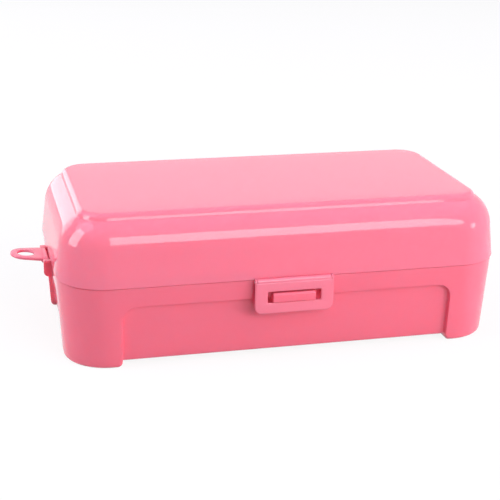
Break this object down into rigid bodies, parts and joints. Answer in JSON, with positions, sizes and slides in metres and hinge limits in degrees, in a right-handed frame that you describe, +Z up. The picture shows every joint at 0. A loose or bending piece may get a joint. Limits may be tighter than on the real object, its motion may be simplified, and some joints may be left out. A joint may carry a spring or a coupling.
{
  "type": "bobbin box",
  "caption": "Long rounded hinged case for sewing-machine bobbins, with a front snap latch, a folding hang tab and a lift-out tray of half-round cradles.",
  "frame": {"origin": "on the surface that the box stands on, below the middle of the closed box's bounding box, hang tab, latch and hinges included", "axes": "+X along the length, away from the hang tab; +Y from the latch at the front to the hinges at the rear; +Z up, from the feet to the lid"},
  "size_m": [0.2168, 0.1128, 0.0667],
  "materials": {
    "base_pink": "injection-moulded polypropylene, satin gloss",
    "lid_pink": "injection-moulded polypropylene, polished gloss",
    "trim_pink": "thin injection-moulded polypropylene, polished gloss",
    "tray_white": "injection-moulded polypropylene, fine matt",
    "pin_steel": "drawn steel wire"
  },
  "bodies": {
    "base": {"base_shell": "base_pink", "hinge_pin_left": "pin_steel", "hinge_pin_right": "pin_steel", "hang_tab_pin": "pin_steel"},
    "lid": {"lid_shell": "lid_pink", "latch_pin": "pin_steel"},
    "latch": {"front_latch": "trim_pink"},
    "tab": {"hang_tab": "trim_pink"},
    "tray": {"bobbin_tray": "tray_white"}
  },
  "joints": [
    {"name": "lid_hinge", "type": "hinge", "parent": "base", "child": "lid", "pos_m": [0.00837, 0.05437, 0.037], "axis": [-1, 0, 0], "range_deg": [0, 110]},
    {"name": "latch_hinge", "type": "hinge", "parent": "lid", "child": "latch", "pos_m": [0.00837, -0.05448, 0.0365], "axis": [-1, 0, 0], "range_deg": [0, 120]},
    {"name": "hang_tab_hinge", "type": "hinge", "parent": "base", "child": "tab", "pos_m": [-0.09283, -0.00077, 0.0356], "axis": [0, -1, 0], "range_deg": [0, 95]},
    {"name": "tray_lift", "type": "slide", "parent": "base", "child": "tray", "axis": [0, 0, 1], "range_m": [0, 0.009]}
  ]
}
